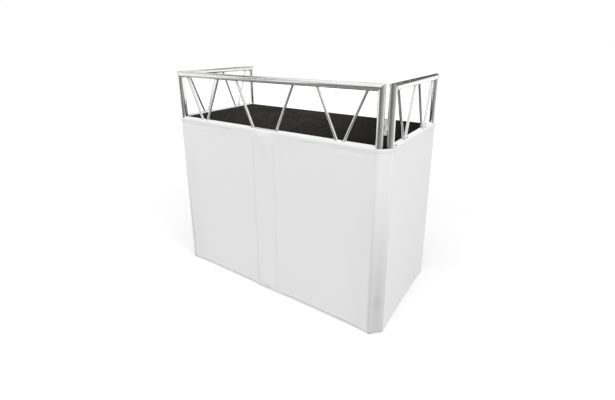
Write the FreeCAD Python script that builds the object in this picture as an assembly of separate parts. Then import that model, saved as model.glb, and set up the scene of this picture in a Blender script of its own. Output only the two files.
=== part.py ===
import FreeCAD, Part
import math
import os

V = FreeCAD.Vector

# Driving dimensions, in millimetres.
# Drawn with the front posts on y = 0, the floor on z = 0 and x = 0 on the centre seam.

# Welded tube
TUBE_R = 15.0
TUBE_WALL = 2.0
ROD_R = 6.0

# Gate sizes
POST_X = 575.0
CORNER = 32.0
SIDE_LENGTH = 556.0
TOP_Z = 1090.0
MID_Z = 849.0
LOW_Z = 19.0
CENTRE_POST_X = 63.0
SEAM_GAP = 0.8
PLUG_FLANGE = 1.0
PLUG_DEPTH = 20.0
STEM_FIT = 0.2

# Feet
TIP_HEIGHT = 5.0
TIP_STEM = 24.0
PAD_R = 8.0

# Zigzag braces, as distances along the gate on the axes of the top rail and the mid rail
FRONT_V_CENTRE = 404.0
FRONT_V_TOP = 119.0
FRONT_V_FOOT = 12.0
DIAGONAL_TOP_X = 172.0
DIAGONAL_FOOT_X = 65.0
SIDE_V_OFFSET = 126.0
SIDE_V_TOP = 103.0
SIDE_V_FOOT = 9.0

# Corner hinges, one low and one above the table on each corner
HINGE_BASES = (131.0, 909.0)
HINGE_HEIGHT = 58.0
KNUCKLE_R = 6.0
KNUCKLE_GAP = 0.5
TAB_WIDTH = 6.0
PIN_R = 3.0
PIN_HEAD_R = 4.6
PIN_HEAD = 2.5
PIN_TAIL_R = 3.9
PIN_TAIL = 1.5
RUNNING_CLEARANCE = 0.05

# Centre pivots: a strap on each rail end, under the mid rail and on the bottom rail, and a bolt in
# front of the seam
PIVOT_Y = -18.0
STRAP_FROM_X = 12.0
STRAP_TO_X = 46.0
STRAP_WIDTH = 18.0
STRAP_THICK = 3.0
STRAP_SINK = 1.5
STRAP_STEP = 0.3
STRAP_NOSE_R = 4.5
STRAP_SCREW_XS = (25.0, 39.0)
SCREW_R = 2.0
SCREW_HEAD_R = 3.8
SCREW_HEAD = 2.2
SCREW_LENGTH = 12.0
BOLT_R = 2.0
BOLT_HEAD_R = 3.6
BOLT_HEAD = 2.5
NUT_R = 4.0
NUT_HEIGHT = 3.2

# Table and the ledges that carry it
TABLE_X = 589.0
TABLE_FRONT_Y = 18.0
TABLE_REAR_Y = 565.0
TABLE_CORNER_CUT = 12.0
TABLE_UNDER_Z = 837.0
BOARD_THICK = 18.0
CARPET_THICK = 3.0
LEDGE_THICK = 3.0
LEDGE_REACH = 45.0
LEDGE_DROP = 0.3
FRONT_LEDGE_FROM = 110.0
FRONT_LEDGE_TO = 470.0
SIDE_LEDGE_FROM = 100.0
SIDE_LEDGE_TO = 470.0

# Stretch cover
CLOTH_GAP = 0.3
CLOTH = 1.0
CLOTH_TOP_Z = 852.0
CLOTH_BOTTOM_Z = 5.0
CLOTH_OVER_DEG = 75.0
CLOTH_UNDER_DEG = 55.0
CLOTH_POST_MARGIN = 19.0
CLOTH_SEAM = 0.5
CLOTH_REAR_DEG = 130.0
BRACE_CUTOUT = 1.2
NOTCH_X = 79.0
BUMP_DEPTH = 7.8
BUMP_FLAT_X = 7.0
BUMP_FOOT_X = 32.0
BUMP_RISE = 130.0

# How far a cutting shape runs past the solid that it cuts
CUT_MARGIN = 1.0

SIDE_POST_X = POST_X + CORNER
REAR_POST_Y = CORNER + SIDE_LENGTH
CLOTH_IN = TUBE_R + CLOTH_GAP
CLOTH_OUT = CLOTH_IN + CLOTH

# The origin is under the middle of the whole booth, so the drawing moves forward by this much.
FRONT_EXTREME = -CLOTH_OUT - BUMP_DEPTH
REAR_EXTREME = REAR_POST_Y + CLOTH_OUT
FRONT_Y = -(FRONT_EXTREME + REAR_EXTREME) / 2


# Basic shapes

def rod(start, end, radius):
    run = end - start
    return Part.makeCylinder(radius, run.Length, start, run)


def upright(x, y, low, high, radius):
    return rod(V(x, y, low), V(x, y, high), radius)


def block(low, high):
    size = high - low
    return Part.makeBox(size.x, size.y, size.z, low)


def prism(points, run):
    return Part.Face(Part.makePolygon(points + points[:1])).extrude(run)


def tube(start, end):
    return rod(start, end, TUBE_R).cut(rod(start, end, TUBE_R - TUBE_WALL))


def bored(solid, x, y, low, high, radius):
    """The solid with an upright hole right through it."""
    return solid.cut(upright(x, y, low - CUT_MARGIN, high + CUT_MARGIN, radius))


def polar(centre, radius, degrees):
    """A point on a circle in the plane of y and z."""
    turn = math.radians(degrees)
    return V(0, centre.y + radius * math.cos(turn), centre.z + radius * math.sin(turn))


def plan_polar(x, y, radius, degrees):
    """A point on a circle in the plane of the floor."""
    turn = math.radians(degrees)
    return V(x + radius * math.cos(turn), y + radius * math.sin(turn), 0)


def arc(first, middle, last):
    return Part.Arc(first, middle, last).toShape()


def line(first, last):
    return Part.LineSegment(first, last).toShape()


def group(solids):
    return Part.makeCompound(solids)


# Welded gates, drawn with their length along x and their outer face towards -y

def mitre_wedge(x, outward, above):
    """The half of a top corner that a post (above) or a rail (below) gives up to its mitre."""
    reach = 2 * TUBE_R
    tip = V(x + outward * reach, -reach, TOP_Z + reach)
    heel = V(x - outward * reach, -reach, TOP_Z - reach)
    third = V(heel.x, -reach, tip.z) if above else V(tip.x, -reach, heel.z)
    return prism([heel, tip, third], V(0, 2 * reach, 0))


def end_post(x, outward):
    """A full-height post, mitred to the top rail, which runs away from outward."""
    post = tube(V(x, 0, TIP_HEIGHT), V(x, 0, TOP_Z + TUBE_R))
    return post.cut(mitre_wedge(x, outward, True))


def top_rail(low_x, high_x, mitred):
    rail = tube(V(low_x, 0, TOP_Z), V(high_x, 0, TOP_Z))
    for x, outward in mitred:
        rail = rail.cut(mitre_wedge(x, outward, False))
    return rail


def coped_rail(low_x, high_x, z, posts):
    """A level rail whose ends are cut to saddle the posts."""
    rail = tube(V(low_x, 0, z), V(high_x, 0, z))
    for x in posts:
        rail = rail.cut(upright(x, 0, z - 2 * TUBE_R, z + 2 * TUBE_R, TUBE_R))
    return rail


def rail_cylinder(z):
    reach = 2 * SIDE_POST_X
    return rod(V(-reach, 0, z), V(reach, 0, z), TUBE_R)


def cope_to_rails(solid):
    return solid.cut(rail_cylinder(TOP_Z)).cut(rail_cylinder(MID_Z))


def coped_rods(rods):
    return group([cope_to_rails(each) for each in rods])


def brace_rod(foot_x, tip_x, radius):
    """A straight rod from the axis of the mid rail to the axis of the top rail."""
    return rod(V(foot_x, 0, MID_Z), V(tip_x, 0, TOP_Z), radius)


def v_brace(centre, top, foot, radius):
    """The two rods of a V, which lean together towards the mid rail."""
    return [brace_rod(centre + side * foot, centre + side * top, radius) for side in (-1, 1)]


def diagonal_brace(radius):
    """The single rod beside the centre seam."""
    return brace_rod(DIAGONAL_FOOT_X, DIAGONAL_TOP_X, radius)


def ledge(low_x, high_x, top_z):
    plate = block(V(low_x, 0, top_z - LEDGE_THICK), V(high_x, LEDGE_REACH, top_z))
    return plate.cut(rail_cylinder(MID_Z))


def foot_tip(x):
    """A rubber tip: a disc under the post and a stem inside it."""
    disc = upright(x, 0, 0, TIP_HEIGHT, TUBE_R)
    stem = upright(x, 0, TIP_HEIGHT, TIP_HEIGHT + TIP_STEM, TUBE_R - TUBE_WALL - STEM_FIT)
    return disc.fuse(stem).removeSplitter()


def foot_pad(x):
    """A rubber pad shaped to the underside of the bottom rail."""
    return upright(x, 0, 0, LOW_Z, PAD_R).cut(rail_cylinder(LOW_Z))


def rail_plug(z):
    """A plug in the seam end of a rail."""
    end_x = SEAM_GAP / 2 + PLUG_FLANGE
    flange = rod(V(SEAM_GAP / 2, 0, z), V(end_x, 0, z), TUBE_R)
    stem_r = TUBE_R - TUBE_WALL - STEM_FIT
    stem = rod(V(end_x, 0, z), V(end_x + PLUG_DEPTH, 0, z), stem_r)
    return flange.fuse(stem).removeSplitter()


# Corner hinges, drawn for the right-hand corner

PIN_X = POST_X + CORNER / 2
PIN_Y = CORNER / 2
KNUCKLE_HEIGHT = (HINGE_HEIGHT - 2 * KNUCKLE_GAP) / 3


def knuckle(low_z, post_x, post_y, bore):
    """A barrel on the hinge line with a tab welded to its post."""
    high_z = low_z + KNUCKLE_HEIGHT
    barrel = upright(PIN_X, PIN_Y, low_z, high_z, KNUCKLE_R)
    along = V(post_x - PIN_X, post_y - PIN_Y, 0)
    across = V(-along.y, along.x, 0).normalize() * (TAB_WIDTH / 2)
    base = V(PIN_X, PIN_Y, low_z)
    outline = [base + across, base - across, base + along - across, base + along + across]
    tab = prism(outline, V(0, 0, KNUCKLE_HEIGHT))
    body = barrel.fuse(tab).removeSplitter()
    body = bored(body, post_x, post_y, low_z, high_z, TUBE_R)
    return bored(body, PIN_X, PIN_Y, low_z, high_z, bore)


def front_knuckles():
    """The top and bottom knuckle of both hinges, on the front gate's post."""
    step = 2 * (KNUCKLE_HEIGHT + KNUCKLE_GAP)
    lows = [base + rise for base in HINGE_BASES for rise in (0, step)]
    return group([knuckle(low, POST_X, 0, PIN_R) for low in lows])


def side_knuckles():
    """The middle knuckle of both hinges, on the side gate's post, which turns on the pin."""
    rise = KNUCKLE_HEIGHT + KNUCKLE_GAP
    bore = PIN_R + RUNNING_CLEARANCE
    return group([knuckle(base + rise, SIDE_POST_X, CORNER, bore) for base in HINGE_BASES])


def hinge_pin(base):
    high = base + HINGE_HEIGHT
    shank = upright(PIN_X, PIN_Y, base, high, PIN_R)
    head = upright(PIN_X, PIN_Y, high, high + PIN_HEAD, PIN_HEAD_R)
    tail = upright(PIN_X, PIN_Y, base - PIN_TAIL, base, PIN_TAIL_R)
    return shank.fuse([head, tail]).removeSplitter()


# Centre pivots, drawn for the right-hand half on top of a rail at z = 0

def strap_level(raised):
    """The underside of a pivot strap: the raised one laps over the other."""
    low = TUBE_R - STRAP_SINK
    return low + STRAP_THICK + STRAP_STEP if raised else low


def pivot_strap(raised):
    """A flat strap on a rail end, with a nose that reaches forward to the pivot bolt."""
    level = strap_level(raised)
    bar = block(V(STRAP_FROM_X, -STRAP_WIDTH / 2, strap_level(False)),
                V(STRAP_TO_X, STRAP_WIDTH / 2, level + STRAP_THICK))
    pivot = V(0, PIVOT_Y, level)
    root = V(STRAP_FROM_X + STRAP_WIDTH / 2, 0, level)
    along = root - pivot
    across = V(-along.y, along.x, 0).normalize() * STRAP_NOSE_R
    tongue = prism([pivot + across, pivot - across, root - across, root + across],
                   V(0, 0, STRAP_THICK))
    nose = upright(0, PIVOT_Y, level, level + STRAP_THICK, STRAP_NOSE_R)
    strap = bar.fuse([tongue, nose]).removeSplitter()
    bore = BOLT_R + RUNNING_CLEARANCE if raised else BOLT_R
    strap = bored(strap, 0, PIVOT_Y, level, level + STRAP_THICK, bore)
    return strap.cut(rail_cylinder(0)).cut(group(strap_shanks()))


def strap_shanks():
    low = TUBE_R - SCREW_LENGTH
    return [upright(x, 0, low, 2 * TUBE_R, SCREW_R) for x in STRAP_SCREW_XS]


def strap_screws(raised):
    top = strap_level(raised) + STRAP_THICK
    screws = []
    for x in STRAP_SCREW_XS:
        shank = upright(x, 0, TUBE_R - SCREW_LENGTH, top, SCREW_R)
        head = upright(x, 0, top, top + SCREW_HEAD, SCREW_HEAD_R)
        screws.append(shank.fuse(head).removeSplitter())
    return screws


def pivot_bolt():
    """A bolt through both straps, held in the one next to the rail."""
    top = strap_level(True) + STRAP_THICK + STRAP_STEP
    low = strap_level(False) - NUT_HEIGHT
    shank = upright(0, PIVOT_Y, low, top, BOLT_R)
    head = upright(0, PIVOT_Y, top, top + BOLT_HEAD, BOLT_HEAD_R)
    return shank.fuse(head).removeSplitter()


def pivot_nut():
    top = strap_level(False)
    corners = [plan_polar(0, PIVOT_Y, NUT_R, 60 * step) for step in range(6)]
    outline = [V(corner.x, corner.y, top - NUT_HEIGHT) for corner in corners]
    nut = prism(outline, V(0, 0, NUT_HEIGHT))
    return bored(nut, 0, PIVOT_Y, top - NUT_HEIGHT, top, BOLT_R)


def at_pivots(solids):
    """The same solids under the mid rail and on top of the bottom rail."""
    placed = []
    for solid in solids:
        under = solid.mirror(V(0, 0, 0), V(0, 0, 1))
        under.translate(V(0, 0, MID_Z))
        over = solid.copy()
        over.translate(V(0, 0, LOW_Z))
        placed += [under, over]
    return group(placed)


# Stretch cover

def cover_run(low_x, high_x):
    """Cloth laid over the mid rail, down the outer face and under the bottom rail."""
    over = V(0, 0, MID_Z)
    under = V(0, 0, LOW_Z)
    back = 90 - CLOTH_OVER_DEG
    end = 180 + CLOTH_UNDER_DEG

    def side(radius):
        """The points along one face of the cloth, from the back of the mid rail down."""
        return [
            polar(over, radius, back),
            polar(over, radius, 90),
            polar(over, radius, 180),
            polar(under, radius, 180),
            polar(under, radius, 180 + CLOTH_UNDER_DEG / 2),
            polar(under, radius, end),
        ]

    outer = side(CLOTH_OUT)
    inner = side(CLOTH_IN)
    edges = []
    for face in (outer, inner):
        edges.append(arc(*face[0:3]))
        edges.append(line(face[2], face[3]))
        edges.append(arc(*face[3:6]))
    edges.append(line(outer[0], inner[0]))
    edges.append(line(outer[5], inner[5]))
    outline = Part.Wire(Part.__sortEdges__(edges))
    sheet = Part.Face(outline).extrude(V(high_x - low_x, 0, 0))
    sheet.translate(V(low_x, 0, 0))
    return sheet


def cover_flat(low_x, high_x):
    """Cloth past a post, where there is no rail to wrap."""
    low = V(low_x, -CLOTH_OUT, CLOTH_BOTTOM_Z)
    return block(low, V(high_x, -CLOTH_IN, CLOTH_TOP_Z))


def front_cover():
    run = cover_run(CENTRE_POST_X + CLOTH_SEAM, POST_X - CLOTH_POST_MARGIN)
    flat = cover_flat(POST_X - CLOTH_POST_MARGIN, POST_X - CLOTH_SEAM)
    cover = run.fuse(flat).removeSplitter()
    room = ROD_R + BRACE_CUTOUT
    cover = cover.cut(v_brace(FRONT_V_CENTRE, FRONT_V_TOP, FRONT_V_FOOT, room))
    cover = cover.cut(diagonal_brace(room))
    return cover.cut(block(V(0, -CLOTH_OUT, CLOTH_TOP_Z), V(NOTCH_X, CLOTH_OUT, TOP_Z)))


def rear_wrap():
    """Cloth carried round the rear post of a side gate to its inner face."""
    outer = [V(SIDE_LENGTH, -CLOTH_OUT, 0)]
    outer.append(plan_polar(SIDE_LENGTH, 0, CLOTH_OUT, CLOTH_REAR_DEG / 2 - 90))
    outer.append(plan_polar(SIDE_LENGTH, 0, CLOTH_OUT, CLOTH_REAR_DEG - 90))
    inner = [V(SIDE_LENGTH, -CLOTH_IN, 0)]
    inner.append(plan_polar(SIDE_LENGTH, 0, CLOTH_IN, CLOTH_REAR_DEG / 2 - 90))
    inner.append(plan_polar(SIDE_LENGTH, 0, CLOTH_IN, CLOTH_REAR_DEG - 90))
    edges = [arc(*outer), line(outer[2], inner[2]), arc(*reversed(inner)), line(inner[0], outer[0])]
    sheet = Part.Face(Part.Wire(edges)).extrude(V(0, 0, CLOTH_TOP_Z - CLOTH_BOTTOM_Z))
    sheet.translate(V(0, 0, CLOTH_BOTTOM_Z))
    return sheet


def side_cover():
    cover = cover_run(CLOTH_POST_MARGIN, SIDE_LENGTH - CLOTH_POST_MARGIN)
    front_flat = cover_flat(CLOTH_SEAM, CLOTH_POST_MARGIN)
    rear_flat = cover_flat(SIDE_LENGTH - CLOTH_POST_MARGIN, SIDE_LENGTH)
    cover = cover.fuse([front_flat, rear_flat, rear_wrap()]).removeSplitter()
    for centre in SIDE_V_CENTRES:
        cover = cover.cut(v_brace(centre, SIDE_V_TOP, SIDE_V_FOOT, ROD_R + BRACE_CUTOUT))
    return cover


def corner_strip():
    """Cloth pulled straight from the front gate's post to the side gate's post."""
    front = V(POST_X, 0, 0)
    rear = V(SIDE_POST_X, CORNER, 0)
    bends = ((front, (-90, -67.5, -45)), (rear, (-45, -22.5, 0)))

    def face(radius):
        """Both bends of one face of the cloth."""
        return [[plan_polar(post.x, post.y, radius, turn) for turn in turns] for post, turns in bends]

    (out_a, out_b), (in_a, in_b) = face(CLOTH_OUT), face(CLOTH_IN)
    edges = [
        arc(*out_a), line(out_a[2], out_b[0]), arc(*out_b), line(out_b[2], in_b[2]),
        arc(*reversed(in_b)), line(in_b[0], in_a[2]), arc(*reversed(in_a)), line(in_a[0], out_a[0]),
    ]
    strip = Part.Face(Part.Wire(edges)).extrude(V(0, 0, CLOTH_TOP_Z - CLOTH_BOTTOM_Z))
    strip.translate(V(0, 0, CLOTH_BOTTOM_Z))
    return strip


def centre_strip():
    """Cloth across the seam, pushed forward over the two pivots."""
    low_pivot = LOW_Z + TUBE_R
    high_pivot = MID_Z - TUBE_R
    levels = (
        (CLOTH_BOTTOM_Z, BUMP_DEPTH),
        (low_pivot + TUBE_R, BUMP_DEPTH),
        (low_pivot + BUMP_RISE, 0),
        (high_pivot - BUMP_RISE, 0),
        (high_pivot - TUBE_R, BUMP_DEPTH),
        (CLOTH_TOP_Z, BUMP_DEPTH),
    )
    sections = []
    for z, push in levels:
        outer, inner = -CLOTH_OUT, -CLOTH_IN
        xs = (-CENTRE_POST_X, -BUMP_FOOT_X, -BUMP_FLAT_X, BUMP_FLAT_X, BUMP_FOOT_X, CENTRE_POST_X)
        pushes = (0, 0, push, push, 0, 0)
        front = [V(x, outer - depth, z) for x, depth in zip(xs, pushes)]
        back = [V(x, inner - depth, z) for x, depth in zip(xs, pushes)]
        ring = front + back[::-1]
        sections.append(Part.makePolygon(ring + ring[:1]))
    return Part.makeLoft(sections, True, True)


# Table

def table_slab(low_z, thick):
    cut = TABLE_CORNER_CUT
    outline = [
        V(-TABLE_X + cut, TABLE_FRONT_Y, low_z), V(TABLE_X - cut, TABLE_FRONT_Y, low_z),
        V(TABLE_X, TABLE_FRONT_Y + cut, low_z), V(TABLE_X, TABLE_REAR_Y, low_z),
        V(-TABLE_X, TABLE_REAR_Y, low_z), V(-TABLE_X, TABLE_FRONT_Y + cut, low_z),
    ]
    return prism(outline, V(0, 0, thick))


# Assembly of the nodes

SIDE_V_CENTRES = (SIDE_LENGTH / 2 - SIDE_V_OFFSET, SIDE_LENGTH / 2 + SIDE_V_OFFSET)
SEAM_X = SEAM_GAP / 2 + PLUG_FLANGE
RAIL_LEVELS = (TOP_Z, MID_Z, LOW_Z)


def front_gate(name, raised):
    """The pieces of one front half, drawn on the right. The raised straps lap over the others."""
    shanks = at_pivots(strap_shanks())
    mid = coped_rail(SEAM_X, POST_X, MID_Z, [POST_X]).cut(shanks)
    low = coped_rail(SEAM_X, POST_X, LOW_Z, [POST_X]).cut(shanks)
    centre = tube(V(CENTRE_POST_X, 0, LOW_Z), V(CENTRE_POST_X, 0, MID_Z))
    centre = centre.cut(rail_cylinder(MID_Z)).cut(rail_cylinder(LOW_Z))
    v_rods = v_brace(FRONT_V_CENTRE, FRONT_V_TOP, FRONT_V_FOOT, ROD_R)
    ledge_top = TABLE_UNDER_Z - (LEDGE_DROP if raised else 0)
    return {
        name + "_end_post": end_post(POST_X, 1),
        name + "_top_rail": top_rail(SEAM_X, POST_X + TUBE_R, [(POST_X, 1)]),
        name + "_mid_rail": mid,
        name + "_bottom_rail": low,
        name + "_centre_post": centre,
        name + "_v_brace": coped_rods(v_rods),
        name + "_diagonal_brace": cope_to_rails(diagonal_brace(ROD_R)),
        name + "_table_ledge": ledge(FRONT_LEDGE_FROM, FRONT_LEDGE_TO, ledge_top),
        name + "_feet": group([foot_tip(POST_X), foot_pad(CENTRE_POST_X)]),
        name + "_rail_plugs": group([rail_plug(z) for z in RAIL_LEVELS]),
        name + "_corner_knuckles": front_knuckles(),
        name + "_pivot_straps": at_pivots([pivot_strap(raised)]),
        name + "_strap_screws": at_pivots(strap_screws(raised)),
        name + "_cover": front_cover(),
    }


def corner_pieces(name):
    """The hinge pins and the cloth of the right-hand corner."""
    return {
        name + "_corner_hinge_pins": group([hinge_pin(base) for base in HINGE_BASES]),
        name + "_corner_cover_strip": corner_strip(),
    }


def side_gate(name):
    """The pieces of the right-hand side gate, drawn along x and then stood on the right."""
    ends = [0, SIDE_LENGTH]
    front_v, rear_v = [v_brace(x, SIDE_V_TOP, SIDE_V_FOOT, ROD_R) for x in SIDE_V_CENTRES]
    ledge_top = TABLE_UNDER_Z - LEDGE_DROP
    pieces = {
        name + "_front_post": end_post(0, -1),
        name + "_rear_post": end_post(SIDE_LENGTH, 1),
        name + "_top_rail": top_rail(-TUBE_R, SIDE_LENGTH + TUBE_R, [(0, -1), (SIDE_LENGTH, 1)]),
        name + "_mid_rail": coped_rail(0, SIDE_LENGTH, MID_Z, ends),
        name + "_bottom_rail": coped_rail(0, SIDE_LENGTH, LOW_Z, ends),
        name + "_front_v_brace": coped_rods(front_v),
        name + "_rear_v_brace": coped_rods(rear_v),
        name + "_table_ledge": ledge(SIDE_LEDGE_FROM, SIDE_LEDGE_TO, ledge_top),
        name + "_feet": group([foot_tip(x) for x in ends]),
        name + "_cover": side_cover(),
    }
    for shape in pieces.values():
        shape.rotate(V(0, 0, 0), V(0, 0, 1), 90)
        shape.translate(V(SIDE_POST_X, CORNER, 0))
    pieces[name + "_knuckles"] = side_knuckles()
    return pieces


def mirrored(pieces):
    return {name: shape.mirror(V(0, 0, 0), V(1, 0, 0)) for name, shape in pieces.items()}


nodes = {}
nodes.update(front_gate("front_right", True))
nodes.update(corner_pieces("right"))
nodes.update(side_gate("right_side"))
nodes.update(mirrored(front_gate("front_left", False)))
nodes.update(mirrored(corner_pieces("left")))
nodes.update(mirrored(side_gate("left_side")))
nodes["centre_pivot_bolts"] = at_pivots([pivot_bolt()])
nodes["centre_pivot_nuts"] = at_pivots([pivot_nut()])
nodes["centre_cover_strip"] = centre_strip()
nodes["table_board"] = table_slab(TABLE_UNDER_Z, BOARD_THICK)
nodes["table_carpet"] = table_slab(TABLE_UNDER_Z + BOARD_THICK, CARPET_THICK)

os.makedirs("parts", exist_ok=True)
for name, shape in nodes.items():
    shape.translate(V(0, FRONT_Y, 0))
    shape.exportStep("parts/" + name + ".step")
    print(name, shape.isValid(), len(shape.Solids), round(shape.Volume))
print("nodes", len(nodes), "front posts at y", FRONT_Y)
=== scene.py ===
from math import cos, exp, inf, pi, radians, sin, sqrt

import bpy
import numpy as np
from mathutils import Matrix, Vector


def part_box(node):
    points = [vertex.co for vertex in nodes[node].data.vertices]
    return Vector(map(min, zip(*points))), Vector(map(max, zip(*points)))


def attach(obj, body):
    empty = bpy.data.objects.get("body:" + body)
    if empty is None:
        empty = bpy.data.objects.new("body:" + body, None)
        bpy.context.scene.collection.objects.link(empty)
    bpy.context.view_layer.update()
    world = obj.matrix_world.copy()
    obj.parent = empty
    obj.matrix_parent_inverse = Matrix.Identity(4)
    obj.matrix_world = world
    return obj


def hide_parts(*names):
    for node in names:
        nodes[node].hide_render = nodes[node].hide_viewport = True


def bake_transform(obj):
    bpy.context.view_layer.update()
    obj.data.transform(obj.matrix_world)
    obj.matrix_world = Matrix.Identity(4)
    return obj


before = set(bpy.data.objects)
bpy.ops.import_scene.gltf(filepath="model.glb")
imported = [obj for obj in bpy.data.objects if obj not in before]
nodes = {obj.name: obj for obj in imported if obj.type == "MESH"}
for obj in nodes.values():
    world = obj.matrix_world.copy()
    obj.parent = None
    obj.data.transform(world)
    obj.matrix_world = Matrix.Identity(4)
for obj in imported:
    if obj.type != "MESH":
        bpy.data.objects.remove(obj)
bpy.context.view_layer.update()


# Sizes read from the frame, in metres

def middle(node):
    low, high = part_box(node)
    return (low + high) / 2


front_post = middle("front_right_end_post")
side_post = middle("right_side_front_post")
mid_rail_low, mid_rail_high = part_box("front_right_mid_rail")
carpet_low, carpet_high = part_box("table_carpet")

TUBE_R = (mid_rail_high.z - mid_rail_low.z) / 2
POST_X = front_post.x
FRONT_Y = front_post.y
SIDE_X = side_post.x
SIDE_Y = side_post.y
SIDE_LENGTH = middle("right_side_rear_post").y - SIDE_Y
TOP_Z = middle("front_right_top_rail").z
MID_Z = middle("front_right_mid_rail").z
LOW_Z = middle("front_right_bottom_rail").z
CENTRE_POST_X = middle("front_right_centre_post").x
STRIP_TOP_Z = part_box("right_corner_cover_strip")[1].z

# Brace rods: their radius, and their places along a gate on the axes of the mid rail and the top rail
ROD_R = 0.006
FRONT_RODS = ((0.392, 0.285), (0.416, 0.523), (0.065, 0.172))
SIDE_RODS = ((0.143, 0.049), (0.161, 0.255), (0.395, 0.301), (0.413, 0.507))

# Cloth: its thickness, its radius on a tube, and how far it goes round a rail from the rail's front
CLOTH_THICK = 0.0008
CLOTH_R = TUBE_R + CLOTH_THICK
RAIL_TOP = CLOTH_R * pi / 2
OVER_RAIL = CLOTH_R * radians(165)
OVER_NOTCH = CLOTH_R * radians(58)
UNDER_RAIL = CLOTH_R * radians(62)
LOW_EDGE_Z = 0.0032
# The low edge goes from straight at the end of a gate to bent round the rail in this length
LOW_BEND_RUN = 0.14
# How far stretched cloth stands in beside a post
STAND_IN = 0.0026

# Half the width of the notch at the seam
NOTCH_X = 0.079

# The painted shade of a cut beside the front post of a side: its place along the gate, and round the rail
POST_CUT_U = 0.034
POST_CUT_PAST = CLOTH_R * radians(50)

# Folded hem in front of a post: its reach from the post's axis, half the length in which it turns into the
# plain edge, the radius and height of its fold, its depth, and the part of its rows that make the fold
POST_MARGIN = 0.0172
HEM_TURN = 0.002
HEM_FOLD_R = 0.00065
HEM_ABOVE_STRIP = 0.004
HEM_FOLD_Z = STRIP_TOP_Z + HEM_ABOVE_STRIP
HEM_DEPTH = 0.009
HEM_FOLD_PART = 0.6

# Lip in the cloth round a brace rod, and the painted shade of the slit round it
LIP_HEIGHT = 0.0013
LIP_RADIUS = 0.0075
LIP_WIDTH = 0.004
SLIT_SHADE = 0.9

# Pivots and hinges behind the cloth
PIVOT_HIGH_Z = 0.822
PIVOT_LOW_Z = 0.045
PIVOT_SWELL = 0.0082
# The low hinge is painted on each corner strip as a patch of shade: its height, its reach, and how dark it
# is
LOW_HINGE_Z = 0.16
LOW_HINGE_HIGH = 0.026
LOW_HINGE_SHADE = 0.10


def put(name, data):
    """A new object in the scene, at the origin."""
    made = bpy.data.objects.new(name, data)
    bpy.context.scene.collection.objects.link(made)
    return made


# Shader and geometry trees

class Value:
    """A socket of a node tree, with the arithmetic that the finishes use."""

    def __init__(self, tree, socket):
        self.tree = tree
        self.socket = socket

    def __add__(self, other):
        return self.tree.math("ADD", self, other)

    __radd__ = __add__

    def __sub__(self, other):
        return self.tree.math("SUBTRACT", self, other)

    def __rsub__(self, other):
        return self.tree.math("SUBTRACT", other, self)

    def __mul__(self, other):
        return self.tree.math("MULTIPLY", self, other)

    __rmul__ = __mul__


class Tree:
    """A node tree that is filled one node at a time."""

    def __init__(self, tree):
        self.tree = tree

    def node(self, kind, settings=None, inputs=None, out=0):
        """One of the outputs of a new node, whose inputs are given numbers, colours or links."""
        made = self.tree.nodes.new(kind)
        for name, setting in (settings or {}).items():
            setattr(made, name, setting)
        for key, given in (inputs or {}).items():
            if isinstance(given, Value):
                self.tree.links.new(given.socket, made.inputs[key])
            else:
                made.inputs[key].default_value = given
        return Value(self, made.outputs[out]) if made.outputs else made

    def math(self, operation, *operands):
        return self.node("ShaderNodeMath", {"operation": operation}, dict(enumerate(operands)))


class Finish(Tree):
    """A material, with the kinds of node that the finishes share."""

    def __init__(self, name):
        self.material = bpy.data.materials.new(name)
        self.material.use_nodes = True
        self.material.node_tree.nodes.clear()
        super().__init__(self.material.node_tree)

    def scaled(self, where, scale):
        return self.node("ShaderNodeMapping", inputs={"Vector": where, "Scale": scale})

    def place(self, scale=(1, 1, 1)):
        return self.scaled(self.node("ShaderNodeTexCoord", out="Object"), scale)

    def cloth_place(self, scale=(1, 1, 1)):
        return self.scaled(self.node("ShaderNodeUVMap", {"uv_map": "cloth"}), scale)

    def mask(self, name):
        return self.node("ShaderNodeAttribute", {"attribute_name": name}, out="Fac")

    def noise(self, where, scale, detail, roughness):
        inputs = {"Vector": where, "Scale": scale, "Detail": detail, "Roughness": roughness}
        return self.node("ShaderNodeTexNoise", inputs=inputs)

    def bands(self, where, direction, scale, distortion):
        settings = {"wave_type": "BANDS", "bands_direction": direction}
        inputs = {"Vector": where, "Scale": scale, "Distortion": distortion, "Detail": 2.0}
        return self.node("ShaderNodeTexWave", settings, inputs)

    def span(self, amount, low, high, to_low=0.0, to_high=1.0):
        inputs = {"Value": amount, "From Min": low, "From Max": high, "To Min": to_low, "To Max": to_high}
        return self.node("ShaderNodeMapRange", {"clamp": True}, inputs)

    def mix(self, amount, first, second):
        """Two colours mixed: they are inputs 6 and 7 of a Mix node, and its output 2."""
        inputs = {"Factor": amount, 6: first, 7: second}
        return self.node("ShaderNodeMix", {"data_type": "RGBA"}, inputs, out=2)

    def bump(self, height, strength, distance):
        inputs = {"Height": height, "Strength": strength, "Distance": distance}
        return self.node("ShaderNodeBump", inputs=inputs)

    def output(self, shader):
        self.node("ShaderNodeOutputMaterial", inputs={"Surface": shader})
        return self.material

    def surface(self, sockets):
        return self.output(self.node("ShaderNodeBsdfPrincipled", inputs=sockets))


def chain(paths):
    """Points and edges of open paths, as one guide."""
    vertices, edges = [], []
    for path in paths:
        first = len(vertices)
        vertices += path
        edges += [(first + i, first + i + 1) for i in range(len(path) - 1)]
    return vertices, edges


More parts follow.
